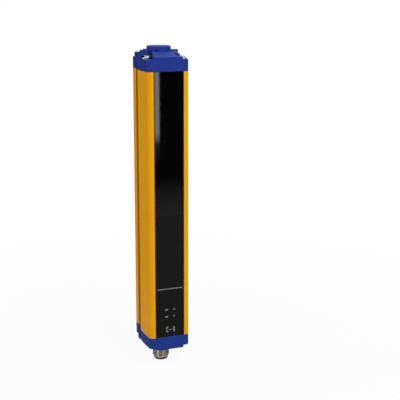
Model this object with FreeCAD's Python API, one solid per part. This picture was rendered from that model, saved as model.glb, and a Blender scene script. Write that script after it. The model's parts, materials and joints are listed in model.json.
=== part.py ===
# Receiver bar of a safety light curtain: optics in an aluminium profile, closed by two moulded end caps.
# The bar stands upright. Its dark window faces -Y, and +X is its right side seen from the front.
# The origin is the free end of the plug connector, on the common axis of connector and swivel boss.

import FreeCAD, Part
import math
import os

V = FreeCAD.Vector

# Outer section of the profile
BAR_WIDTH = 30.0            # over the gently bulged sides
FRONT_WIDTH = 29.0          # across the front face, before its corners are rounded
GROOVE_SIDE_WIDTH = 29.2    # where the sides meet the grooves
BAR_DEPTH = 39.0
FRONT_DEPTH = 22.0          # front part, from the window to the side grooves
GROOVE_WIDTH = 9.0
NECK_WIDTH = 16.4
RAIL_WIDTH = 24.8
FRONT_CORNER = 2.6
GROOVE_CORNER = 0.6         # bevels along the grooves
RAIL_CORNER = 1.5

# Heights along the bar
PROFILE_LENGTH = 186.0
CAP_RIM = 7.8               # height of the cap's low rim
CAP_FRONT = 9.5             # height of the cap's front face at its middle
CAP_ROOF = 12.4             # where the sloping roof ends
CAP_PLATEAU = 13.3
CAP_REAR = 11.0
CAP_REAR_LOW = 12.2         # of the lower cap's block over the rail
CAP_TOTAL = 16.0            # with the swivel boss
CAP_HOLLOW = 5.2            # depth of the caps' opening over the optics chamber
SLOPE_DEPTH = 9.5           # of the roof's slope, from the front face
ROOF_HALF = 14.0            # half widths
SHOULDER_START = 9.6        # of the roof's level part at the front face
SHOULDER_FALL = 0.75        # slopes of the roof's shoulders, sideways and backwards
SHOULDER_RISE = 0.25
LOW_SHOULDER_START = 7.2    # the lower cap's left shoulder, which is gentler
LOW_SHOULDER_FALL = 0.31
PLATEAU_POINT = 10.3        # depths from the front face: the plateau's point
PLATEAU_WING = 17.6         # and its wings' front and back
PLATEAU_WING_BACK = 20.6
REAR_SETBACK = 1.0          # of the block over the rail
WING_HALF = 13.3            # of the upper cap's plateau
LOW_WING_HALF = 8.2         # of the lower cap's
NECK_TOP = 7.4
LUG_HALF = 4.4              # of the caps' square lugs around the screws
SEAL_PLATE = 1.0
SEAL_HOLE = 2.5             # half width of the seals' eight-sided screw holes
CONNECTOR_REACH = 9.7       # from the lower cap's plateau to the connector's free end

# Inside of the profile
FRONT_WALL = 4.3            # from the front face to the chamber, with the window rebate
WINDOW_WIDTH = 21.4
WINDOW_THICK = 2.2
WINDOW_SETBACK = 0.2
SEAL_THICK = 0.4
APERTURE_WIDTH = 17.6
CHAMBER_WIDTH = 25.6
BACK_WALL = 2.0
NECK_WALL = 1.8
RAIL_WALL = 2.0
SLOT_DEPTH = 9.7            # from the front face to the carrier slots
SLOT_OPENING = 1.8
SLOT_RIB = 0.9
SLOT_HALF = 11.6            # half the distance between the ribs of both sides

# Cap screws: one near the right front corner, one at the left back of the front part
SCREW_X = 10.4
SCREW_FRONT = 5.0           # from the front face to the right screw
SCREW_SPACING = 10.2        # along the depth, from the right screw to the left one
SCREW_SEAT = 7.2            # cap height under the upper cap's screw heads
SCREW_SEAT_LOW = 5.0        # the same in the lower cap, where they lie below the rim
SCREW_LENGTH = 16.0         # under the head
SCREW_HEAD_HIGH = 2.7
SCREW_HEAD = 3.9            # radii
SCREW_POCKET = 4.1
SCREW_CORE = 1.6
SCREW_BORE = 1.65
SCREW_CLEARANCE = 2.2
CHANNEL_RADIUS = 3.1
POCKET_FRONT = 10.2         # half width of the roof between the two pockets, at the front face
POCKET_BACK = 8.3           # and where its slope ends
LOW_POCKET_FRONT = 12.0     # the lower cap's, on the left

# Swivel boss and connector
BOSS_RADIUS = 8.25
PLUG_THREAD = 6.0
PLUG_BARREL = 5.8           # between flange and thread
PLUG_BORE = 5.1
PLUG_HOLE = 6.1
PLUG_CAVITY = 6.7
PLUG_WALL = 8.0             # half width of the eight-sided wall around the cavity
PLUG_SEAT = 6.4             # depth of the connector's cavity in the lower cap
SOCKET_DEPTH = 8.5
SOCKET_RADIUS = 4.1
PIN_CIRCLE = 2.75
PIN_RADIUS = 0.5
PIN_COUNT = 4

# Optics: one lens and one photodiode for each beam
BEAM_COUNT = 8
BEAM_PITCH = 20.0
BEAM_TOP_MARGIN = 7.2       # from the last lens to the upper cap
LENS_HALF = 4.9             # half the side of a square lens
LENS_THICK = 2.0
FIELD_START = 35.2          # from the profile's lower end to the line that marks the field

FRONT = -BAR_DEPTH / 2
REAR = BAR_DEPTH / 2
GROOVE_FRONT = FRONT + FRONT_DEPTH
GROOVE_BACK = GROOVE_FRONT + GROOVE_WIDTH
CHAMBER_FRONT = FRONT + FRONT_WALL
CHAMBER_BACK = GROOVE_FRONT - BACK_WALL
SCREWS = [(SCREW_X, FRONT + SCREW_FRONT), (-SCREW_X, FRONT + SCREW_FRONT + SCREW_SPACING)]
CHANNELS = [(side * SCREW_X, y) for side in (-1, 1) for _, y in SCREWS]
LOW_END = CONNECTOR_REACH + CAP_PLATEAU
TOP_END = LOW_END + PROFILE_LENGTH
FIELD_LOW = LOW_END + FIELD_START
BEAMS = [TOP_END - BEAM_TOP_MARGIN - BEAM_PITCH * i for i in reversed(range(BEAM_COUNT))]

# Optics and electronics, at the bar's own heights
BLOCK_HALF = 6.8
BLOCK_FRONT = FRONT + 4.9
BOARD_FRONT = FRONT + 15.4
BOARD_THICK = 1.2
BOARD_BACK = BOARD_FRONT + BOARD_THICK
BOARD_HALF = 6.4
CONTROL_TOP = FIELD_LOW - 4.0
BLOCK_LOW = FIELD_LOW - 2.8
BLOCK_TOP = TOP_END - 0.6
APERTURE_Y = FRONT + 12.0
LENS_BACK = BLOCK_FRONT + LENS_THICK
TUBE_WIDE = 4.4
TUBE_NARROW = 3.0
CLIP_THICK = 0.4
TONGUE_Y = FRONT + 9.8
TONGUE_THICK = 1.6
TONGUE_REACH = 12.6
INSERT_END = 3.6            # cap height of the connector insert's inner end
DISC_THICK = 0.8
FLEX_THICK = 0.2
FLEX_BEND = 0.8
FLEX_HALF = 3.0
FLEX_START = -2.75
FLEX_TOP = LOW_END + 6.5

# Indicators behind the lower end of the window: two columns and two rows
INDICATOR_X = (-2.3, 3.3)
INDICATOR_Z = (14.4, 19.7)  # from the profile's lower end
GUIDE_HALF = 1.0
GUIDE_BRIDGE = FRONT + 11.0


def box(x0, x1, y0, y1, z0, z1):
    return Part.makeBox(x1 - x0, y1 - y0, z1 - z0, V(x0, y0, z0))


def post(x, y, radius, z0, z1):
    return Part.makeCylinder(radius, z1 - z0, V(x, y, z0))


def prism(points, z0, z1):
    """Straight-sided solid over an outline in the XY plane."""
    wire = Part.makePolygon([V(x, y, z0) for x, y in points + points[:1]])
    return Part.Face(wire).extrude(V(0, 0, z1 - z0))


def side_prism(points, x0, x1):
    """Straight-sided solid over an outline in the YZ plane."""
    wire = Part.makePolygon([V(x0, y, z) for y, z in points + points[:1]])
    return Part.Face(wire).extrude(V(x1 - x0, 0, 0))


def turned(points, x, y):
    """Solid of revolution about an upright axis, from points of radius and height."""
    wire = Part.makePolygon([V(r, 0, z) for r, z in points + points[:1]])
    solid = Part.Face(wire).revolve(V(0, 0, 0), V(0, 0, 1), 360)
    solid.translate(V(x, y, 0))
    return solid


def eight_sided(x, y, half, z0, z1):
    """Upright octagonal prism, half as wide as given across its flats."""
    short = half * math.tan(math.pi / 8)
    quarter = [(half, -short), (half, short), (short, half), (-short, half)]
    corners = quarter + [(-a, -b) for a, b in quarter]
    return prism([(x + a, y + b) for a, b in corners], z0, z1)


def mirrored(points):
    """Right half of an outline, front to back, completed with its left half."""
    return points + [(-x, y) for x, y in reversed(points)]


def both_sides(solid):
    return [solid, solid.mirror(V(0, 0, 0), V(1, 0, 0))]


def fused(solids):
    return solids[0].multiFuse(solids[1:]).removeSplitter()


def uprights(solid, corners):
    """The upright edges that stand at the given corners."""
    def stands_at_corner(edge):
        a, b = edge.Vertexes[0].Point, edge.Vertexes[-1].Point
        upright = math.hypot(a.x - b.x, a.y - b.y) < 1e-6 and abs(a.z - b.z) > 1e-6
        return upright and any(math.hypot(a.x - x, a.y - y) < 1e-3 for x, y in corners)
    return [e for e in solid.Edges if stands_at_corner(e)]


def round_uprights(solid, radius, corners):
    return solid.makeFillet(radius, uprights(solid, corners))


def bevel_uprights(solid, size, corners):
    return solid.makeChamfer(size, uprights(solid, corners))


def export(name, shape):
    shape.exportStep("parts/" + name + ".step")


def half_outline():
    """Corners of the right half of the bar's section, front to back."""
    return [(FRONT_WIDTH / 2, FRONT), (GROOVE_SIDE_WIDTH / 2, GROOVE_FRONT), (NECK_WIDTH / 2, GROOVE_FRONT),
            (NECK_WIDTH / 2, GROOVE_BACK), (RAIL_WIDTH / 2, GROOVE_BACK), (RAIL_WIDTH / 2, REAR)]


def bar_prism(z0, z1):
    """The bar's outer form between two heights: bulged sides, deep side grooves, rear rail."""
    right = [V(x, y, z0) for x, y in half_outline()]
    left = [V(-p.x, p.y, z0) for p in right]
    bulge_y = (FRONT + GROOVE_FRONT) / 2
    edges = [Part.Arc(right[0], V(BAR_WIDTH / 2, bulge_y, z0), right[1]).toShape()]
    edges += [Part.makeLine(a, b) for a, b in zip(right[1:], right[2:])]
    edges.append(Part.makeLine(right[-1], left[-1]))
    edges += [Part.makeLine(b, a) for a, b in reversed(list(zip(left[1:], left[2:])))]
    edges.append(Part.Arc(left[1], V(-BAR_WIDTH / 2, bulge_y, z0), left[0]).toShape())
    edges.append(Part.makeLine(left[0], right[0]))
    solid = Part.Face(Part.Wire(edges)).extrude(V(0, 0, z1 - z0))
    front, side, inner, inner_back, rail_front, rail = half_outline()
    solid = round_uprights(solid, FRONT_CORNER, mirrored([front]))
    solid = round_uprights(solid, RAIL_CORNER, mirrored([rail]))
    return bevel_uprights(solid, GROOVE_CORNER, mirrored([side, inner, inner_back, rail_front]))


def rear_cavity(z0, z1, inset=0.0):
    """T-shaped hollow of the neck and the rail, the same in the profile and the seals."""
    neck = NECK_WIDTH / 2 - NECK_WALL - inset
    rail = RAIL_WIDTH / 2 - RAIL_WALL - inset
    front = GROOVE_FRONT + BACK_WALL + inset
    step = GROOVE_BACK + NECK_WALL + inset
    back = REAR - NECK_WALL - inset
    return prism(mirrored([(neck, front), (neck, step), (rail, step), (rail, back)]), z0, z1)


def housing_profile():
    """Extrusion with window rebate, optics chamber, four screw channels, carrier slots and rear hollow."""
    solid = bar_prism(LOW_END, TOP_END)
    chamber = box(-CHAMBER_WIDTH / 2, CHAMBER_WIDTH / 2, CHAMBER_FRONT, CHAMBER_BACK, LOW_END, TOP_END)
    solid = solid.cut([chamber, rear_cavity(LOW_END, TOP_END)])
    ribs = [post(x, y, CHANNEL_RADIUS, LOW_END, TOP_END) for x, y in CHANNELS]
    slot_front = FRONT + SLOT_DEPTH
    for y0 in (slot_front - SLOT_RIB, slot_front + SLOT_OPENING):
        ribs += both_sides(box(SLOT_HALF, CHAMBER_WIDTH / 2 + 0.5, y0, y0 + SLOT_RIB, LOW_END, TOP_END))
    solid = solid.fuse(ribs)
    rebate = box(-WINDOW_WIDTH / 2, WINDOW_WIDTH / 2, FRONT,
                 FRONT + WINDOW_SETBACK + WINDOW_THICK + SEAL_THICK, LOW_END, TOP_END)
    aperture = box(-APERTURE_WIDTH / 2, APERTURE_WIDTH / 2, FRONT, CHAMBER_FRONT + 1.0, LOW_END, TOP_END)
    cuts = [rebate, aperture] + [post(x, y, SCREW_BORE, LOW_END, TOP_END) for x, y in CHANNELS]
    cuts += [box(min(x, 0), max(x, 0), y - 0.6, y + 0.6, LOW_END, TOP_END) for x, y in CHANNELS]
    return solid.cut(cuts).removeSplitter()


def front_window():
    solid = box(-WINDOW_WIDTH / 2, WINDOW_WIDTH / 2, FRONT + WINDOW_SETBACK,
                FRONT + WINDOW_SETBACK + WINDOW_THICK, LOW_END, TOP_END)
    front = [(s * WINDOW_WIDTH / 2, FRONT + WINDOW_SETBACK) for s in (-1, 1)]
    return round_uprights(solid, 0.3, front)


def window_seals():
    y0 = FRONT + WINDOW_SETBACK + WINDOW_THICK
    strip = box(APERTURE_WIDTH / 2, WINDOW_WIDTH / 2, y0, y0 + SEAL_THICK, LOW_END, TOP_END)
    return Part.makeCompound(both_sides(strip))


def above_plane(a, b, c):
    """A large block on the upper side of the plane through three points."""
    normal = (b - a).cross(c - a)
    normal = normal.normalize() * (1 if normal.z > 0 else -1)
    side = normal.cross(V(0, 1, 0)).normalize()
    ahead = normal.cross(side)
    reach = 60
    corners = [a + side * (i * reach) + ahead * (j * reach) for i, j in ((-1, -1), (1, -1), (1, 1), (-1, 1))]
    return Part.Face(Part.makePolygon(corners + corners[:1])).extrude(normal * reach)


def shoulder_cut(start, fall):
    """What lies above the roof's right shoulder, from where it starts and how steeply it falls sideways."""
    corner = V(start, FRONT, CAP_FRONT)
    return above_plane(corner, corner + V(5, 0, -5 * fall), corner + V(0, 10, 10 * SHOULDER_RISE))


def cap_roof(has_plug):
    """Roof that slopes up from the front face and falls off towards both sides."""
    half = ROOF_HALF
    back = GROOVE_FRONT - 0.9
    outline = [(FRONT, 0), (FRONT, CAP_FRONT), (FRONT + SLOPE_DEPTH, CAP_ROOF), (back, CAP_ROOF), (back, 0)]
    roof = side_prism(outline, -half, half).common(bar_prism(0, CAP_TOTAL))
    shoulders = both_sides(shoulder_cut(SHOULDER_START, SHOULDER_FALL))
    if has_plug:
        shoulders[1] = shoulder_cut(LOW_SHOULDER_START, LOW_SHOULDER_FALL).mirror(V(0, 0, 0), V(1, 0, 0))
    return roof.cut(shoulders)


def cap_plateau(wing_half):
    """Flat top with a pointed front, two wings and a narrow back over the neck."""
    point_y, wing_y, wing_back = FRONT + PLATEAU_POINT, FRONT + PLATEAU_WING, FRONT + PLATEAU_WING_BACK
    front_y = point_y + (wing_y - point_y) * wing_half / WING_HALF
    points = [(0, point_y), (wing_half, front_y), (wing_half, wing_back), (NECK_TOP, GROOVE_FRONT),
              (NECK_TOP, GROOVE_BACK)]
    return prism(points + [(-x, y) for x, y in reversed(points[1:])], 0, CAP_PLATEAU)


def cap_rear(height):
    """Stepped-in upper part over the rail, joined to the plateau by the neck."""
    half = RAIL_WIDTH / 2 - REAR_SETBACK
    front, back = GROOVE_BACK + REAR_SETBACK, REAR - REAR_SETBACK
    corners = [(half, front), (half, back), (-half, back), (-half, front)]
    block = round_uprights(prism(corners, 0, height), 1.3, corners)
    neck = box(-NECK_TOP, NECK_TOP, GROOVE_FRONT, GROOVE_BACK + 2, 0, height)
    return block.fuse(neck)


def swivel_boss():
    """Round boss on the plateau, whole also where it overhangs a screw's pocket."""
    boss = post(0, 0, BOSS_RADIUS, CAP_PLATEAU, CAP_TOTAL)
    rim = [e for e in boss.Edges if abs(e.CenterOfMass.z - CAP_TOTAL) < 1e-6]
    return boss.makeChamfer(0.6, rim)


def screw_pockets(seat, left_front, left_end):
    """Round pockets for the two screw heads, with the roof cleared from them to the outside faces."""
    (right_x, right_y), (left_x, left_y) = SCREWS
    reach = SCREW_POCKET
    top = CAP_TOTAL
    outside = BAR_WIDTH
    left = [(-outside, FRONT - 1), (-left_front, FRONT - 1), (-POCKET_BACK, FRONT + SLOPE_DEPTH),
            (left_x + reach, left_y), left_end, (-outside, left_end[1])]
    right = [(POCKET_FRONT, FRONT - 1), (outside, FRONT - 1), (outside, right_y + reach),
             (right_x, right_y + reach), (right_x, right_y), (POCKET_FRONT, right_y)]
    return [post(x, y, reach, seat, top) for x, y in SCREWS] + [prism(left, CAP_RIM, top),
                                                                prism(right, CAP_RIM, top)]


def front_opening(z0, z1, wall=0.0):
    """Opening of caps and seals over the optics chamber, with a lug around each screw."""
    half = CHAMBER_WIDTH / 2 - 1.0 - wall
    y0, y1 = FRONT + 2.6 + wall, CHAMBER_BACK - 0.5 - wall
    corners = [(half, y0), (half, y1), (-half, y1), (-half, y0)]
    opening = bevel_uprights(prism(corners, z0, z1), 1.0, corners)
    lug = LUG_HALF + wall
    return opening.cut([box(x - lug, x + lug, y - lug, y + lug, z0, z1) for x, y in SCREWS])


def seal_holes():
    return [eight_sided(x, y, SEAL_HOLE, 0, SEAL_PLATE) for x, y in SCREWS]


def seal_plate(has_plug):
    """Die-cut seal between a cap and the profile's end, lying in the cap's recess."""
    thick = SEAL_PLATE
    margin = 0.9
    side = FRONT_WIDTH / 2 - margin
    neck = NECK_WIDTH / 2 - margin
    rail = RAIL_WIDTH / 2 - margin
    right = [(side - 1.6, FRONT + margin), (side, FRONT + margin + 1.6), (side, GROOVE_FRONT - margin),
             (neck, GROOVE_FRONT - margin), (neck, GROOVE_BACK + margin), (rail, GROOVE_BACK + margin),
             (rail, REAR - margin)]
    cuts = [front_opening(0, thick), rear_cavity(0, thick, -0.4)]
    cuts += seal_holes()
    if has_plug:
        cuts.append(eight_sided(0, 0, PLUG_WALL, 0, thick))
    return prism(mirrored(right), 0, thick).cut(cuts)


def end_cap(has_plug):
    """Moulded cap, built upwards from the profile's end at height 0."""
    wing_half = LOW_WING_HALF if has_plug else WING_HALF
    seat = SCREW_SEAT_LOW if has_plug else SCREW_SEAT
    left_x, left_y = SCREWS[1]
    left_front = LOW_POCKET_FRONT if has_plug else POCKET_FRONT
    left_end = (left_x + SCREW_POCKET, GROOVE_FRONT) if has_plug else (left_x, left_y + SCREW_POCKET)
    rear = cap_rear(CAP_REAR_LOW if has_plug else CAP_REAR)
    solid = fused([bar_prism(0, CAP_RIM), cap_roof(has_plug), cap_plateau(wing_half), rear])
    solid = solid.cut([seal_plate(has_plug), front_opening(0, CAP_HOLLOW, 0.6)] + seal_holes())
    cuts = screw_pockets(seat, left_front, left_end)
    cuts += [post(x, y, SCREW_CLEARANCE, 0, CAP_RIM) for x, y in SCREWS]
    if has_plug:
        solid = solid.fuse(eight_sided(0, 0, PLUG_WALL, 0, PLUG_SEAT))
        cuts += [post(0, 0, PLUG_CAVITY, 0, PLUG_SEAT), post(0, 0, PLUG_HOLE, PLUG_SEAT, CAP_TOTAL)]
        return solid.cut(cuts).removeSplitter()
    cuts.append(rear_cavity(0, 7.0))
    return solid.cut(cuts).fuse(swivel_boss()).removeSplitter()


def cap_screw(x, y, seat):
    """Pan-head screw with a cross recess, in the cap's own heights."""
    tip = seat - SCREW_LENGTH
    top = seat + SCREW_HEAD_HIGH
    points = [(0, tip), (SCREW_CORE, tip), (SCREW_CORE, seat), (SCREW_HEAD, seat), (SCREW_HEAD, seat + 1.6),
              (SCREW_HEAD - 1.0, top), (0, top)]
    arm, slot, floor = 2.1, 0.5, top - 1.6
    recess = [box(x - arm, x + arm, y - slot, y + slot, floor, top + 1),
              box(x - slot, x + slot, y - arm, y + arm, floor, top + 1)]
    return turned(points, x, y).cut(recess)


def cap_screws(seat):
    return Part.makeCompound([cap_screw(x, y, seat) for x, y in SCREWS])


def on_top(shape):
    placed = shape.copy()
    placed.translate(V(0, 0, TOP_END))
    return placed


def at_bottom(shape):
    placed = shape.mirror(V(0, 0, 0), V(0, 0, 1))
    placed.translate(V(0, 0, LOW_END))
    return placed


def plug_shell():
    """Metal shell, held by its inner flange. Its outside is the thread's crests here."""
    end = CAP_PLATEAU + CONNECTOR_REACH - 1.7
    flange = PLUG_CAVITY - 0.1
    low, high = PLUG_SEAT - 2.4, PLUG_SEAT - 1.0
    shoulder = CAP_PLATEAU + 0.4
    return turned([(PLUG_BORE, low), (flange, low), (flange, high), (PLUG_BARREL, high), (PLUG_BARREL, shoulder),
                   (PLUG_THREAD, shoulder), (PLUG_THREAD, end - 0.6), (PLUG_THREAD - 0.6, end), (PLUG_BORE, end)],
                  0, 0)


def plug_ring():
    """Square-section sealing ring as it lies squeezed between flange, barrel and cap."""
    inner, outer = PLUG_BARREL, PLUG_CAVITY - 0.1
    low = PLUG_SEAT - 1.0
    return turned([(inner, low), (outer, low), (outer, PLUG_SEAT), (inner, PLUG_SEAT)], 0, 0)


def plug_nut():
    """Hexagon nut that clamps the shell's flange from inside the cap."""
    low, high = PLUG_SEAT - 4.6, PLUG_SEAT - 2.4
    corner = PLUG_CAVITY - 0.1
    corners = [(corner * math.cos(i * math.pi / 3), corner * math.sin(i * math.pi / 3)) for i in range(6)]
    return prism(corners, low, high).cut(post(0, 0, PLUG_BORE + 0.25, low, high))


def pin_places():
    """One pin at the centre, the others on a circle."""
    turn = 2 * math.pi / PIN_COUNT
    ring = [(PIN_CIRCLE * math.cos(turn * (i + 0.5)), PIN_CIRCLE * math.sin(turn * (i + 0.5)))
            for i in range(PIN_COUNT)]
    return [(0, 0)] + ring


def plug_insert():
    """Plastic insert with the deep socket, its coding key and square holes that grip the pins."""
    end = CAP_PLATEAU + CONNECTOR_REACH
    floor = end - SOCKET_DEPTH
    points = [(0, INSERT_END), (PLUG_BORE, INSERT_END), (PLUG_BORE, end - 0.6), (PLUG_BORE - 0.5, end),
              (SOCKET_RADIUS, end), (SOCKET_RADIUS, floor), (0, floor)]
    key = box(-0.6, 0.6, -SOCKET_RADIUS - 0.2, -SOCKET_RADIUS + 0.8, floor, end - 1.0)
    solid = turned(points, 0, 0).fuse(key)
    half = PIN_RADIUS
    return solid.cut([box(x - half, x + half, y - half, y + half, INSERT_END, end) for x, y in pin_places()])


def plug_pins():
    end = CAP_PLATEAU + CONNECTOR_REACH - 2.5
    return Part.makeCompound([post(x, y, PIN_RADIUS, INSERT_END, end) for x, y in pin_places()])


def plug_disc():
    """Round circuit board on the insert's inner end, soldered to the pins' ends."""
    return post(0, 0, PLUG_BORE - 0.1, INSERT_END - DISC_THICK, INSERT_END)


def flex_strip():
    """Flexible strip from the round board to the control board's front, rounded where it turns up."""
    disc_z = LOW_END - INSERT_END + DISC_THICK
    outer = side_prism([(FLEX_START, disc_z), (BOARD_FRONT - FLEX_THICK, disc_z),
                        (BOARD_FRONT - FLEX_THICK, FLEX_TOP), (FLEX_START, FLEX_TOP)], -FLEX_HALF, FLEX_HALF)
    inner = side_prism([(FLEX_START, disc_z + FLEX_THICK), (BOARD_FRONT, disc_z + FLEX_THICK),
                        (BOARD_FRONT, FLEX_TOP), (FLEX_START, FLEX_TOP)], -FLEX_HALF, FLEX_HALF)

    def bent(solid, radius, y, z):
        edge = [e for e in solid.Edges if abs(e.CenterOfMass.y - y) + abs(e.CenterOfMass.z - z) < 1e-6]
        return solid.makeFillet(radius, edge)
    outer = bent(outer, FLEX_BEND, BOARD_FRONT - FLEX_THICK, disc_z)
    return outer.cut(bent(inner, FLEX_BEND - FLEX_THICK, BOARD_FRONT, disc_z + FLEX_THICK))


def side_tongues(z0, z1):
    """Tongues that slide in the profile's slots."""
    return both_sides(box(BLOCK_HALF - 1, TONGUE_REACH, TONGUE_Y, TONGUE_Y + TONGUE_THICK, z0, z1))


def on_beam(half, y0, y1, z):
    """Square block on a beam's axis."""
    return box(-half, half, y0, y1, z - half, z + half)


def tapered_tube(z):
    """Square light tube that narrows from the lens to the aperture."""
    def frame(half, y):
        points = [V(-half, y, z - half), V(half, y, z - half), V(half, y, z + half), V(-half, y, z + half)]
        return Part.makePolygon(points + points[:1])
    return Part.makeLoft([frame(TUBE_WIDE, BLOCK_FRONT), frame(TUBE_NARROW, APERTURE_Y)], True, True)


def optics_block():
    """Moulded block with one stepped light tube for each beam and side tongues in the profile's slots."""
    body = box(-BLOCK_HALF, BLOCK_HALF, BLOCK_FRONT, BOARD_FRONT, BLOCK_LOW, BLOCK_TOP)
    body = fused([body] + side_tongues(BLOCK_LOW, BLOCK_TOP))
    cuts = [box(-4.6, 4.6, APERTURE_Y, APERTURE_Y + 0.6, BLOCK_LOW, BLOCK_TOP)]
    for z in BEAMS:
        cuts += [on_beam(LENS_HALF, BLOCK_FRONT, LENS_BACK, z), tapered_tube(z),
                 on_beam(TUBE_NARROW, APERTURE_Y, BOARD_FRONT, z)]
    notch = BLOCK_HALF - CLIP_THICK
    for z in clip_heights():
        cuts += both_sides(box(notch, BLOCK_HALF + 1, BOARD_FRONT - 2.4, BOARD_FRONT, z - 2.0, z + 2.0))
    return body.cut(cuts)


def clip_heights():
    return [BEAMS[i] + BEAM_PITCH / 2 for i in (0, 3, 6)]


def receiver_lenses():
    """Square-cut plano-convex lenses, their domes towards the window."""
    crown = 0.9
    corner = LENS_HALF * math.sqrt(2)
    sphere = (corner ** 2 + crown ** 2) / (2 * crown)
    front = LENS_BACK - LENS_THICK
    lenses = [on_beam(LENS_HALF, front, LENS_BACK, z).common(Part.makeSphere(sphere, V(0, front + sphere, z)))
              for z in BEAMS]
    return Part.makeCompound(lenses)


def aperture_strip():
    strip = box(-4.5, 4.5, APERTURE_Y, APERTURE_Y + 0.6, BLOCK_LOW + 1, BLOCK_TOP - 1)
    return strip.cut([on_beam(0.9, APERTURE_Y, APERTURE_Y + 1, z) for z in BEAMS])


def receiver_board():
    return box(-BOARD_HALF, BOARD_HALF, BOARD_FRONT, BOARD_BACK, BLOCK_LOW, BLOCK_TOP)


def photodiodes():
    """Square packages, each with a raised chip window."""
    return Part.makeCompound([on_beam(1.9, BOARD_FRONT - 1.2, BOARD_FRONT, z).fuse(
        on_beam(1.3, BOARD_FRONT - 1.6, BOARD_FRONT - 1.2, z)) for z in BEAMS])


def board_clips():
    """Bent strips over the receiver board's back, hooked into the optics block's side notches."""
    inside, outside = BLOCK_HALF - CLIP_THICK, BLOCK_HALF
    hook = BOARD_FRONT - 2.0
    right = [(outside, BOARD_BACK + CLIP_THICK), (outside, hook), (inside, hook), (inside, BOARD_BACK)]
    outline = right + [(-x, y) for x, y in reversed(right)]
    return Part.makeCompound([prism(outline, z - 1.5, z + 1.5) for z in clip_heights()])


def control_board():
    return box(-BOARD_HALF, BOARD_HALF, BOARD_FRONT, BOARD_BACK, LOW_END + 2.0, CONTROL_TOP)


def board_header():
    """Plug-in header that links the two boards across their gap."""
    z0, z1 = CONTROL_TOP - 3.0, BLOCK_LOW + 3.0
    body = box(-5.0, 5.0, BOARD_BACK, BOARD_BACK + 2.2, z0, z1)
    return body.cut(box(-4.2, 4.2, BOARD_BACK + 1.4, BOARD_BACK + 2.3, z0 + 0.9, z1 - 0.9))


def microcontrollers():
    """The two processors that check each other, on the back of the control board."""
    chips = []
    for z in (LOW_END + 6.5, LOW_END + 14.5):
        chips.append(box(-3.0, 3.0, BOARD_BACK, BOARD_BACK + 1.0, z - 3.0, z + 3.0))
    return Part.makeCompound(chips)


def output_switches():
    """The two safety output transistors, in flat packages beside the wires' pads."""
    packages = []
    for side in (-1, 1):
        x = side * 3.2
        packages.append(box(x - 1.8, x + 1.8, BOARD_FRONT - 1.4, BOARD_FRONT, LOW_END + 24.0, LOW_END + 30.0))
    return Part.makeCompound(packages)


def buffer_capacitors():
    cans = []
    for side in (-1, 1):
        can = Part.makeCylinder(1.6, 4.2, V(side * 3.4, BOARD_FRONT - 4.2, LOW_END + 8.9), V(0, 1, 0))
        cans.append(can)
    return Part.makeCompound(cans)


def indicator_places():
    return [(x, LOW_END + z) for x in INDICATOR_X for z in INDICATOR_Z]


def indicator_lamps():
    return Part.makeCompound([box(x - 1.0, x + 1.0, BOARD_FRONT - 0.9, BOARD_FRONT, z - 0.6, z + 0.6)
                              for x, z in indicator_places()])


def light_guides():
    """Clear moulding: four square rods on a bridge, from the lamps to the window."""
    y0, y1 = FRONT + WINDOW_SETBACK + WINDOW_THICK + 0.3, BOARD_FRONT - 1.1
    half = GUIDE_HALF
    rods = [box(x - half, x + half, y0, y1, z - half, z + half) for x, z in indicator_places()]
    middle_z = LOW_END + sum(INDICATOR_Z) / 2
    bridge = box(-4.0, 5.0, GUIDE_BRIDGE, GUIDE_BRIDGE + 1.0, middle_z - 4.2, middle_z + 4.2)
    return fused([bridge] + rods)


def indicator_frame():
    """Black holder that keeps the lamps' light apart and carries the control board in the profile's slots."""
    z0, z1 = LOW_END + 2.0, CONTROL_TOP
    front, back = BLOCK_FRONT, BOARD_FRONT
    body = box(-BLOCK_HALF, BLOCK_HALF, front, back, z0, z1)
    hollow = box(-BLOCK_HALF + 1.2, BLOCK_HALF - 1.2, GUIDE_BRIDGE, back, z0, z1 - 1.2)
    body = fused([body.cut(hollow)] + side_tongues(z0, z1))
    half = GUIDE_HALF + 0.1
    return body.cut([box(x - half, x + half, front, GUIDE_BRIDGE, z - half, z + half)
                     for x, z in indicator_places()])


def earth_spring():
    """Bent strip that presses between the board's back and the chamber's back wall."""
    y0, y1 = BOARD_BACK, CHAMBER_BACK
    thick = 0.3
    z0 = CONTROL_TOP - 11.0
    outline = [(y0, z0), (y0, z0 + 3.0), (y1 - thick, z0 + 5.6), (y1, z0 + 5.6), (y1, z0 + 5.0),
               (y0 + thick, z0 + 2.7), (y0 + thick, z0)]
    return side_prism(outline, -1.5, 1.5)


def end_pads():
    """Foam pads that hold the stack of block and holder lengthways."""
    y0, y1 = BLOCK_FRONT + 0.6, -PLUG_WALL - 0.6
    half = 5.2
    top = box(-half, half, y0, y1, BLOCK_TOP, TOP_END + CAP_HOLLOW)
    low = box(-half, half, y0, y1, LOW_END - CAP_HOLLOW, LOW_END + 2.0)
    return Part.makeCompound([top, low])


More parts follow.
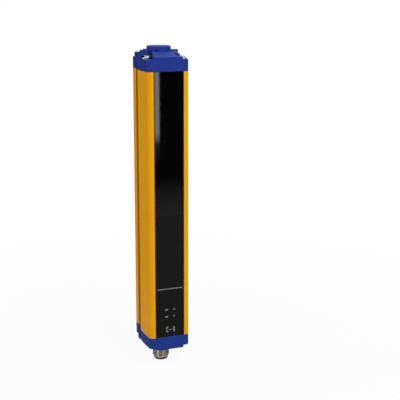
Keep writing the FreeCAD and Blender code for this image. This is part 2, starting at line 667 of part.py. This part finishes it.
def make_all():
    export("housing_profile", housing_profile())
    export("front_window", front_window())
    export("window_seals", window_seals())
    export("top_cap", on_top(end_cap(False)))
    export("bottom_cap", at_bottom(end_cap(True)))
    export("top_cap_seal", on_top(seal_plate(False)))
    export("bottom_cap_seal", at_bottom(seal_plate(True)))
    export("top_cap_screws", on_top(cap_screws(SCREW_SEAT)))
    export("bottom_cap_screws", at_bottom(cap_screws(SCREW_SEAT_LOW)))
    export("connector_shell", at_bottom(plug_shell()))
    export("connector_o_ring", at_bottom(plug_ring()))
    export("connector_nut", at_bottom(plug_nut()))
    export("connector_insert", at_bottom(plug_insert()))
    export("connector_pins", at_bottom(plug_pins()))
    export("connector_board", at_bottom(plug_disc()))
    export("connector_flex", flex_strip())
    export("optics_block", optics_block())
    export("receiver_lenses", receiver_lenses())
    export("aperture_strip", aperture_strip())
    export("receiver_board", receiver_board())
    export("photodiodes", photodiodes())
    export("board_clips", board_clips())
    export("control_board", control_board())
    export("board_header", board_header())
    export("microcontrollers", microcontrollers())
    export("output_switches", output_switches())
    export("buffer_capacitors", buffer_capacitors())
    export("indicator_lamps", indicator_lamps())
    export("light_guides", light_guides())
    export("indicator_frame", indicator_frame())
    export("earth_spring", earth_spring())
    export("end_pads", end_pads())


os.makedirs("parts", exist_ok=True)
make_all()
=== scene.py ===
import json
import math

import bmesh
import bpy
from mathutils import Matrix, Vector

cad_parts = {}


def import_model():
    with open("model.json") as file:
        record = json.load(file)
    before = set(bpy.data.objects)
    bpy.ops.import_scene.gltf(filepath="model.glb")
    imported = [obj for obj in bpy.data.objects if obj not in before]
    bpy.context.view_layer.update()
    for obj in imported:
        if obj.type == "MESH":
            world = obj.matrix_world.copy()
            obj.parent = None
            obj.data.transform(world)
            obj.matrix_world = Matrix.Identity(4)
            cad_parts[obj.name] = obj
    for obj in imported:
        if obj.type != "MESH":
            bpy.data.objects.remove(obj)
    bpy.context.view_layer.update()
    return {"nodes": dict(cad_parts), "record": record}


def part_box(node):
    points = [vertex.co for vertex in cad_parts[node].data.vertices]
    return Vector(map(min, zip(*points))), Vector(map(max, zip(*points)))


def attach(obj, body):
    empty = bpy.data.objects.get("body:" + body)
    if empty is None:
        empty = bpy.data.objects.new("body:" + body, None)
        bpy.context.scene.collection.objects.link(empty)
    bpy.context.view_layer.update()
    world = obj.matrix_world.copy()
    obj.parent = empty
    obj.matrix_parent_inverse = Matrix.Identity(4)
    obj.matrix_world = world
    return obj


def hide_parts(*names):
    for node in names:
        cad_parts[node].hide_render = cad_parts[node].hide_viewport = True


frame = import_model()

MM = 0.001

# The window's print, in mm
WINDOW_FACE = -19.3         # y of the window's front face
WINDOW_LOW = 23.0           # z of its lower edge
PRINT_THICK = 0.04

# The connector's thread, in mm
THREAD_CREST = 6.0          # radius
THREAD_ROOT = 5.45          # radius
THREAD_PITCH = 1.0
THREAD_LOW = 2.3            # z where it starts
THREAD_HIGH = 9.5           # z where it ends
THREAD_FADE = 0.8           # length over which it fades out at both ends
FLANGE_THICK = 1.4
EDGE_BREAK = 0.1
TURN_STEPS = 72
ROWS_PER_PITCH = 8

# Light, in Blender's own units
WORLD_LIGHT = 0.38
FLOOR_PALE = 0.5
FLOOR_HALF = 3.0
FLOOR_Z = -0.0005
SHADOW_NEAR, SHADOW_FAR = 0.04, 0.45    # distances over which the floor turns plain white
WHITE_NEAR = 0.94                       # share of plain white beside the bar
WARM_WHITE = (1, 0.99, 0.97)
SEEN_RAYS = ("Is Camera Ray", "Is Glossy Ray", "Is Transmission Ray")

# The photograph's camera, fitted to the bar's edges
PHOTO_WIDTH = 400
FOCAL_PIXELS = 947.5
SENSOR_WIDTH = 36
FRAME_SHIFT = 0.04
CAMERA_PLACE = (-0.22002, -0.61088, 0.26685)
CAMERA_YAW, CAMERA_PITCH, CAMERA_ROLL = 22.308, 13.89, 0.174


# Materials

def srgb(r, g, b):
    """Linear colour from 8-bit values."""
    def linear(v):
        v /= 255
        return v / 12.92 if v <= 0.04045 else ((v + 0.055) / 1.055) ** 2.4
    return (linear(r), linear(g), linear(b), 1.0)


def scaled(color, factor):
    return tuple(c * factor for c in color[:3]) + (1.0,)


class Finish:
    """A material's node tree with the few steps that every finish here shares."""

    def __init__(self, name, metallic=0.0, ior_level=0.5):
        self.material = bpy.data.materials.new(name)
        self.material.use_nodes = True
        self.nodes = self.material.node_tree.nodes
        self.links = self.material.node_tree.links
        self.shader = self.nodes["Principled BSDF"]
        self.shader.inputs["Metallic"].default_value = metallic
        self.shader.inputs["Specular IOR Level"].default_value = ior_level
        self.place = self.nodes.new("ShaderNodeTexCoord").outputs["Object"]
        self.normal = None

    def stretched(self, x, y, z):
        node = self.nodes.new("ShaderNodeMapping")
        node.inputs["Scale"].default_value = (x, y, z)
        self.links.new(self.place, node.inputs["Vector"])
        return node.outputs["Vector"]

    def noise(self, scale, detail=3.0, place=None):
        node = self.nodes.new("ShaderNodeTexNoise")
        node.inputs["Scale"].default_value = scale
        node.inputs["Detail"].default_value = detail
        self.links.new(place or self.place, node.inputs["Vector"])
        return node.outputs["Fac"]

    def ramp(self, factor, *stops):
        node = self.nodes.new("ShaderNodeValToRGB")
        elements = node.color_ramp.elements
        while len(elements) < len(stops):
            elements.new(0.5)
        for element, (position, color) in zip(elements, stops):
            element.position = position
            element.color = color
        self.links.new(factor, node.inputs["Fac"])
        return node.outputs["Color"]

    def color(self, factor, *stops):
        self.links.new(self.ramp(factor, *stops), self.shader.inputs["Base Color"])

    def roughness(self, factor, low, high):
        node = self.nodes.new("ShaderNodeMapRange")
        node.inputs["From Min"].default_value = 0.3
        node.inputs["From Max"].default_value = 0.7
        node.inputs["To Min"].default_value = low
        node.inputs["To Max"].default_value = high
        self.links.new(factor, node.inputs["Value"])
        self.links.new(node.outputs["Result"], self.shader.inputs["Roughness"])

    def soft_edges(self, radius_mm):
        """Rounds the look of sharp edges by a small radius."""
        node = self.nodes.new("ShaderNodeBevel")
        node.samples = 6
        node.inputs["Radius"].default_value = radius_mm * MM
        self.normal = node.outputs["Normal"]
        self.links.new(self.normal, self.shader.inputs["Normal"])

    def bump(self, height, strength, depth_mm):
        node = self.nodes.new("ShaderNodeBump")
        node.inputs["Strength"].default_value = strength
        node.inputs["Distance"].default_value = depth_mm * MM
        self.links.new(height, node.inputs["Height"])
        if self.normal:
            self.links.new(self.normal, node.inputs["Normal"])
        self.normal = node.outputs["Normal"]
        self.links.new(self.normal, self.shader.inputs["Normal"])


def powder_coat():
    """Satin signal-yellow coat with a fine orange-peel surface, and painted shade that darkens the walls
    of the side grooves.
    """
    f = Finish("powder_coat", ior_level=0.09)
    yellow = (0.81, 0.365, 0.0015, 1)
    # Painted shade: inner darkens the coat's colour on the walls of the side grooves, where shade falls;
    # outer leaves it unchanged.
    outer, inner = (1, 1, 1, 1), (0.52, 0.38, 0.5, 1)
    groove_range = 0.014    # the grooves lie from 2.5 to 12 mm behind the bar's axis
    coat = f.ramp(f.noise(55), (0.35, scaled(yellow, 0.94)), (0.65, yellow))
    depth = f.nodes.new("ShaderNodeSeparateXYZ")
    f.links.new(f.place, depth.inputs[0])
    spread = f.nodes.new("ShaderNodeMapRange")
    spread.inputs["From Min"].default_value = 0.0
    spread.inputs["From Max"].default_value = groove_range
    f.links.new(depth.outputs["Y"], spread.inputs["Value"])
    painted_groove_shade = f.ramp(spread.outputs["Result"],
                   (0.14, outer), (0.18, inner), (0.85, inner), (0.89, outer))
    mix = f.nodes.new("ShaderNodeMix")
    mix.data_type = "RGBA"
    mix.blend_type = "MULTIPLY"
    mix.inputs["Factor"].default_value = 1.0
    f.links.new(coat, mix.inputs["A"])
    f.links.new(painted_groove_shade, mix.inputs["B"])
    f.links.new(mix.outputs["Result"], f.shader.inputs["Base Color"])
    f.roughness(f.noise(900), 0.36, 0.48)
    f.soft_edges(0.2)
    f.bump(f.noise(2200, 2.0), 0.25, 0.02)
    return f.material


def dark_window():
    """Polished infrared-passing plastic, almost black."""
    f = Finish("dark_window", ior_level=0.12)
    f.color(f.noise(40),
            (0.3, (0.0009, 0.0009, 0.0009, 1)), (0.7, (0.0016, 0.0016, 0.0015, 1)))
    f.roughness(f.noise(300), 0.015, 0.03)
    f.soft_edges(0.2)
    f.bump(f.noise(60, 1.0), 0.02, 0.01)
    return f.material


def blue_moulding():
    """Glass-filled nylon with an eroded grain."""
    f = Finish("blue_moulding", ior_level=0.13)
    blue = (0.0115, 0.034, 0.245, 1)
    f.color(f.noise(70), (0.3, scaled(blue, 0.9)), (0.7, scaled(blue, 1.04)))
    f.roughness(f.noise(700), 0.42, 0.56)
    f.soft_edges(0.35)
    f.bump(f.noise(2600, 2.0), 0.3, 0.02)
    return f.material


def plated(name, color, low, high, turned=False):
    """Plated or bright metal. A turned piece shows fine rings around its upright axis."""
    f = Finish(name, metallic=1.0)
    f.color(f.noise(300), (0.35, scaled(color, 0.85)), (0.65, color))
    f.roughness(f.noise(1200), low, high)
    f.soft_edges(0.12)
    rings = f.stretched(10, 10, 6000) if turned else f.stretched(900, 900, 900)
    f.bump(f.noise(1.0, 2.0, rings), 0.06 if turned else 0.15, 0.01)
    return f.material


def plastic(name, color, low=0.4, high=0.55, grain=1800, ior_level=0.45):
    f = Finish(name, ior_level=ior_level)
    f.color(f.noise(120), (0.3, scaled(color, 0.85)), (0.7, color))
    f.roughness(f.noise(600), low, high)
    f.soft_edges(0.15)
    f.bump(f.noise(grain, 2.0), 0.2, 0.01)
    return f.material


def clear_plastic(name, color):
    f = Finish(name)
    f.shader.inputs["Transmission Weight"].default_value = 1.0
    f.color(f.noise(100), (0.3, scaled(color, 0.94)), (0.7, color))
    f.roughness(f.noise(400), 0.03, 0.08)
    return f.material


def circuit_board():
    """Green solder mask over a faint pattern of tracks."""
    f = Finish("circuit_board", ior_level=0.5)
    node = f.nodes.new("ShaderNodeTexBrick")
    node.inputs["Scale"].default_value = 260
    node.inputs["Mortar Size"].default_value = 0.03
    node.inputs["Color1"].default_value = srgb(18, 84, 48)
    node.inputs["Color2"].default_value = srgb(14, 74, 42)
    node.inputs["Mortar"].default_value = srgb(40, 120, 66)
    f.links.new(f.stretched(1, 1, 0.35), node.inputs["Vector"])
    f.links.new(node.outputs["Color"], f.shader.inputs["Base Color"])
    f.roughness(f.noise(500), 0.25, 0.4)
    f.bump(node.outputs["Fac"], 0.2, 0.01)
    return f.material


def printed_grey():
    f = Finish("printed_grey", ior_level=0.3)
    f.color(f.noise(900), (0.3, srgb(112, 112, 110)), (0.7, srgb(132, 132, 130)))
    f.roughness(f.noise(900), 0.5, 0.65)
    return f.material


NICKEL = plated("nickel", srgb(153, 148, 134), 0.26, 0.34, turned=True)
FINISHES = {
    "yellow_coat": powder_coat(),
    "dark_window": dark_window(),
    "blue_moulding": blue_moulding(),
    "seal_rubber": plastic("seal_rubber", srgb(28, 28, 28), 0.6, 0.75, 900, 0.3),
    "zinc_screws": plated("zinc", srgb(196, 197, 195), 0.12, 0.2),
    "nickel_shell": NICKEL,
    "black_insert": plastic("black_insert", srgb(34, 33, 32), 0.35, 0.5),
    "contact_gold": plated("contact_gold", srgb(230, 186, 96), 0.18, 0.3),
    "board_green": circuit_board(),
    "flex_amber": plastic("flex_amber", srgb(176, 108, 30), 0.2, 0.35),
    "block_black": plastic("block_black", srgb(30, 30, 32), 0.45, 0.6),
    "lens_clear": clear_plastic("lens_clear", srgb(236, 240, 244)),
    "diode_dark": plastic("diode_dark", srgb(22, 20, 26), 0.12, 0.25),
    "chip_black": plastic("chip_black", srgb(26, 26, 27), 0.5, 0.65),
    "header_white": plastic("header_white", srgb(214, 208, 190)),
    "can_metal": plated("can_metal", srgb(200, 202, 206), 0.3, 0.42),
    "lamp_amber": plastic("lamp_amber", srgb(226, 190, 110), 0.15, 0.3),
    "guide_clear": clear_plastic("guide_clear", srgb(238, 240, 242)),
    "spring_steel": plated("spring_steel", srgb(196, 192, 184), 0.25, 0.35),
    "foam_grey": plastic("foam_grey", srgb(72, 72, 76), 0.8, 0.95, 500, 0.1),
}

slot_of = {row["node"]: row["material_slot"] for row in frame["record"]["subparts"]}
for node_name, node in frame["nodes"].items():
    for material_slot in node.material_slots:
        material_slot.material = FINISHES[slot_of[node_name]]


# New pieces

def mesh_piece(name, build, material):
    """A mesh made by build(bm) in millimetres, riding on the bar."""
    bm = bmesh.new()
    build(bm)
    bmesh.ops.scale(bm, vec=(MM, MM, MM), verts=bm.verts)
    bmesh.ops.recalc_face_normals(bm, faces=bm.faces)
    mesh = bpy.data.meshes.new(name)
    bm.to_mesh(mesh)
    bm.free()
    mesh.materials.append(material)
    obj = bpy.data.objects.new(name, mesh)
    bpy.context.scene.collection.objects.link(obj)
    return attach(obj, "root")


def printed_shape(bm, outline):
    """A thin printed shape on the window, from an outline of x and height above its lower edge."""
    back = [bm.verts.new((x, WINDOW_FACE, WINDOW_LOW + z)) for x, z in outline]
    front = [bm.verts.new((x, WINDOW_FACE - PRINT_THICK, WINDOW_LOW + z)) for x, z in outline]
    bm.faces.new(back)
    bm.faces.new(front[::-1])
    for i in range(len(outline)):
        j = (i + 1) % len(outline)
        bm.faces.new((back[i], back[j], front[j], front[i]))


def rectangle(x0, x1, z0, z1):
    return [(x0, z0), (x1, z0), (x1, z1), (x0, z1)]


# The line across the window, two marks, two arrows and the sign below them, in mm
SIGNS = [
    rectangle(-9.4, 9.5, 35.1, 35.7),
    [(-3.4, 19.6), (-1.6, 19.6), (-1.0, 20.7), (-3.4, 20.7)],
    [(-3.4, 14.3), (-1.8, 14.3), (-1.2, 15.4), (-3.4, 15.4)],
    [(2.4, 19.5), (4.0, 19.5), (3.2, 20.9)],
    [(2.4, 15.6), (3.2, 14.4), (4.0, 15.6)],
    [(-1.0, 3.4), (-2.7, 3.4), (-2.7, 7.5), (-1.0, 7.5),
     (-1.0, 6.9), (-2.1, 6.9), (-2.1, 4.0), (-1.0, 4.0)],
    rectangle(-0.9, 1.3, 4.9, 5.5),
    rectangle(2.5, 3.6, 3.3, 7.2),
]


def signs(bm):
    for outline in SIGNS:
        printed_shape(bm, outline)


mesh_piece("window_signs", signs, printed_grey())


def ring(bm, radius_at, z):
    """Points around the bar's axis. radius_at gives the radius for a share of the full turn."""
    loop = []
    for i in range(TURN_STEPS):
        share = i / TURN_STEPS
        radius, angle = radius_at(share), 2 * math.pi * share
        loop.append(bm.verts.new((radius * math.cos(angle), radius * math.sin(angle), z)))
    return loop


def plain_ring(bm, radius, z):
    return ring(bm, lambda share: radius, z)


def thread_ring(bm, z):
    """One ring of the right-hand thread, which fades out towards both its ends."""
    fade = max(0.0, min(1.0, (z - THREAD_LOW) / THREAD_FADE, (THREAD_HIGH - z) / THREAD_FADE))
    flank_start, flank_slope = 1.6, 4.2

    def radius_at(share):
        phase = (z / THREAD_PITCH - share) % 1.0
        height = max(0.0, min(1.0, flank_start - flank_slope * abs(phase - 0.5)))
        return THREAD_ROOT + (THREAD_CREST - THREAD_ROOT) * height * fade
    return ring(bm, radius_at, z)


def threaded_shell(bm):
    """The plug's metal shell with its real thread, open at both ends and flanged inside the cap."""
    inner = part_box("connector_insert")[1][0] / MM
    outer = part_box("connector_shell")[1][0] / MM
    end, top = [corner[2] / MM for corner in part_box("connector_shell")]
    seat = top - FLANGE_THICK
    length = THREAD_HIGH - THREAD_LOW
    rows = round(length / THREAD_PITCH * ROWS_PER_PITCH)
    loops = [plain_ring(bm, radius, z) for radius, z in (
        (inner, top), (outer - EDGE_BREAK, top), (outer, top - EDGE_BREAK),
        (outer, seat), (THREAD_ROOT, seat))]
    loops += [thread_ring(bm, THREAD_HIGH - length * k / rows) for k in range(rows + 1)]
    loops += [plain_ring(bm, radius, z) for radius, z in (
        (THREAD_ROOT, end + 0.5), (THREAD_ROOT - 0.12, end + 0.15), (THREAD_ROOT - 0.3, end),
        (inner + EDGE_BREAK, end), (inner, end + EDGE_BREAK))]
    for upper, lower in zip(loops, loops[1:] + loops[:1]):
        for i in range(TURN_STEPS):
            j = (i + 1) % TURN_STEPS
            bm.faces.new((upper[i], upper[j], lower[j], lower[i]))


shell = mesh_piece("threaded_shell", threaded_shell, NICKEL)
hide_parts("connector_shell")


# Stage: floor, backdrop, lights and camera

def add_object(name, data):
    obj = bpy.data.objects.new(name, data)
    bpy.context.scene.collection.objects.link(obj)
    return obj


def seen_share(nodes, links):
    """1 for the camera's rays and for those of reflections and clear pieces, 0 for all others."""
    path = nodes.new("ShaderNodeLightPath")
    total = path.outputs[SEEN_RAYS[0]]
    for name in SEEN_RAYS[1:]:
        add = nodes.new("ShaderNodeMath")
        add.operation = "ADD"
        add.use_clamp = True
        links.new(total, add.inputs[0])
        links.new(path.outputs[name], add.inputs[1])
        total = add.outputs[0]
    return total


def mixed(nodes, links, factor, first, second):
    mix = nodes.new("ShaderNodeMixShader")
    links.new(factor, mix.inputs["Fac"])
    links.new(first, mix.inputs[1])
    links.new(second, mix.inputs[2])
    return mix.outputs[0]


def world():
    """A dim soft surround that the camera and reflections see as plain white."""
    bpy.context.scene.world = bpy.data.worlds.new("studio")
    bpy.context.scene.world.use_nodes = True
    tree = bpy.context.scene.world.node_tree
    dim = tree.nodes["Background"]
    dim.inputs["Color"].default_value = (*WARM_WHITE, 1)
    dim.inputs["Strength"].default_value = WORLD_LIGHT
    white = tree.nodes.new("ShaderNodeBackground")
    white.inputs["Color"].default_value = (1, 1, 1, 1)
    seen = seen_share(tree.nodes, tree.links)
    shader = mixed(tree.nodes, tree.links, seen, dim.outputs[0], white.outputs[0])
    tree.links.new(shader, tree.nodes["World Output"].inputs["Surface"])


def floor():
    """Pale floor. Seen rays add white to it, more with distance, so that the object's shadow stays."""
    mesh = bpy.data.meshes.new("floor")
    corners = [(x * FLOOR_HALF, y * FLOOR_HALF, FLOOR_Z) for x, y in ((-1, -1), (1, -1), (1, 1), (-1, 1))]
    mesh.from_pydata(corners, [], [(0, 1, 2, 3)])
    obj = add_object("floor", mesh)
    material = bpy.data.materials.new("pale_floor")
    material.use_nodes = True
    nodes, links = material.node_tree.nodes, material.node_tree.links
    pale = nodes["Principled BSDF"]
    pale.inputs["Base Color"].default_value = (FLOOR_PALE, FLOOR_PALE, FLOOR_PALE, 1)
    pale.inputs["Roughness"].default_value = 0.9
    pale.inputs["Specular IOR Level"].default_value = 0.0
    white = nodes.new("ShaderNodeEmission")
    place = nodes.new("ShaderNodeTexCoord")
    distance = nodes.new("ShaderNodeVectorMath")
    distance.operation = "LENGTH"
    links.new(place.outputs["Object"], distance.inputs[0])
    share = nodes.new("ShaderNodeMapRange")
    share.interpolation_type = "SMOOTHSTEP"
    share.inputs["From Min"].default_value = SHADOW_NEAR
    share.inputs["From Max"].default_value = SHADOW_FAR
    share.inputs["To Min"].default_value = WHITE_NEAR
    share.inputs["To Max"].default_value = 1.0
    links.new(distance.outputs["Value"], share.inputs["Value"])
    factor = nodes.new("ShaderNodeMath")
    factor.operation = "MULTIPLY"
    links.new(share.outputs["Result"], factor.inputs[0])
    links.new(seen_share(nodes, links), factor.inputs[1])
    shader = mixed(nodes, links, factor.outputs[0], pale.outputs[0], white.outputs[0])
    links.new(shader, nodes["Material Output"].inputs["Surface"])
    mesh.materials.append(material)


def area_light(name, place, target, size, power, color=(1, 1, 1)):
    light = bpy.data.lights.new(name, "AREA")
    light.shape = "RECTANGLE"
    light.size, light.size_y = size
    light.energy = power
    light.color = color
    obj = add_object(name, light)
    obj.location = place
    obj.rotation_euler = (Vector(target) - Vector(place)).to_track_quat("-Z", "Y").to_euler()


def reflector(name, corners, low, high):
    """A card that only reflections see, with one brightness at its lowest edge and one at its top."""
    mesh = bpy.data.meshes.new(name)
    mesh.from_pydata(corners, [], [(0, 1, 2, 3)])
    obj = add_object(name, mesh)
    material = bpy.data.materials.new(name)
    material.use_nodes = True
    nodes, links = material.node_tree.nodes, material.node_tree.links
    place = nodes.new("ShaderNodeSeparateXYZ")
    links.new(nodes.new("ShaderNodeNewGeometry").outputs["Position"], place.inputs[0])
    level = nodes.new("ShaderNodeMapRange")
    heights = [corner[2] for corner in corners]
    level.inputs["From Min"].default_value = min(heights)
    level.inputs["From Max"].default_value = max(heights)
    level.inputs["To Min"].default_value = low
    level.inputs["To Max"].default_value = high
    links.new(place.outputs["Z"], level.inputs["Value"])
    glow = nodes.new("ShaderNodeEmission")
    links.new(level.outputs["Result"], glow.inputs["Strength"])
    links.new(glow.outputs[0], nodes["Material Output"].inputs["Surface"])
    mesh.materials.append(material)
    obj.visible_camera = obj.visible_diffuse = obj.visible_transmission = obj.visible_shadow = False


def upright_card(name, x0, y0, x1, y1, z0, z1, low=0.0, high=0.0):
    """An upright reflector over a line on the floor, black where no brightness is given."""
    reflector(name, [(x0, y0, z0), (x1, y1, z0), (x1, y1, z1), (x0, y0, z1)], low, high)


def camera():
    """The photograph's camera: its direction, roll, lens and frame shift."""
    yaw, pitch, roll = [math.radians(angle) for angle in (CAMERA_YAW, CAMERA_PITCH, CAMERA_ROLL)]
    ahead = Vector((math.sin(yaw) * math.cos(pitch), math.cos(yaw) * math.cos(pitch), -math.sin(pitch)))
    level = Vector((math.cos(yaw), -math.sin(yaw), 0))
    plumb = level.cross(ahead)
    right = math.cos(roll) * level + math.sin(roll) * plumb
    up = math.cos(roll) * plumb - math.sin(roll) * level
    data = bpy.data.cameras.new("camera")
    data.sensor_width = SENSOR_WIDTH
    data.lens = FOCAL_PIXELS / PHOTO_WIDTH * SENSOR_WIDTH
    data.shift_y = FRAME_SHIFT
    data.clip_start = 0.01
    obj = add_object("camera", data)
    turn = Matrix((right, up, -ahead)).transposed().to_4x4()
    obj.matrix_world = Matrix.Translation(CAMERA_PLACE) @ turn
    bpy.context.scene.camera = obj


world()
floor()
camera()
middle = (0, 0, 0.12)
area_light("key", (0.2, -0.95, 1.22), middle, (0.42, 0.42), 17, WARM_WHITE)
area_light("side", (-1.05, 0.5, 0.5), middle, (0.5, 0.5), 5.6, WARM_WHITE)
area_light("back", (0.5, 1.2, 0.16), middle, (0.9, 0.24), 6)

# Cards for the reflections in the caps, the window and the connector
upright_card("dark_card_left", -0.30, 0.04, -0.02, 0.16, 0.0, 0.9)
upright_card("dark_card_right", 0.30, -0.12, 0.10, 0.40, 0.0, 0.24)
upright_card("dark_card_front", 0.192, -0.6065, 0.34, -0.6065, 0.0, 0.5)
reflector("floor_fade", [
    (0.1, -0.606, 0.012), (0.34, -0.606, 0.012), (0.34, -0.44, 0.0005), (0.1, -0.44, 0.0005)], 1.4, 0.0)
reflector("floor_shade_left", [
    (-0.14, 0.01, 0.0004), (-0.01, 0.01, 0.0004), (-0.01, 0.2, 0.0006), (-0.14, 0.2, 0.0006)], 0.3, 0.3)
for card_name, card_low, card_high, dim, bright in (
        ("strip_light", 0.071, 0.21, 15.7, 15.7),
        ("strip_light_end", 0.057, 0.071, 2.7, 15.7),
        ("strip_light_trail", 0.026, 0.057, 0.0, 1.3)):
    upright_card(card_name, 0.198, -0.606, 0.2047, -0.606, card_low, card_high, dim, bright)
upright_card("connector_strip_left", -0.0116, -0.0078, -0.0106, -0.0092, 0.0, 0.009, 8.0, 8.0)
upright_card("connector_strip_right", 0.0006, -0.0140, 0.0022, -0.0138, 0.0, 0.009, 6.0, 6.0)
bpy.context.scene.view_settings.view_transform = "Standard"
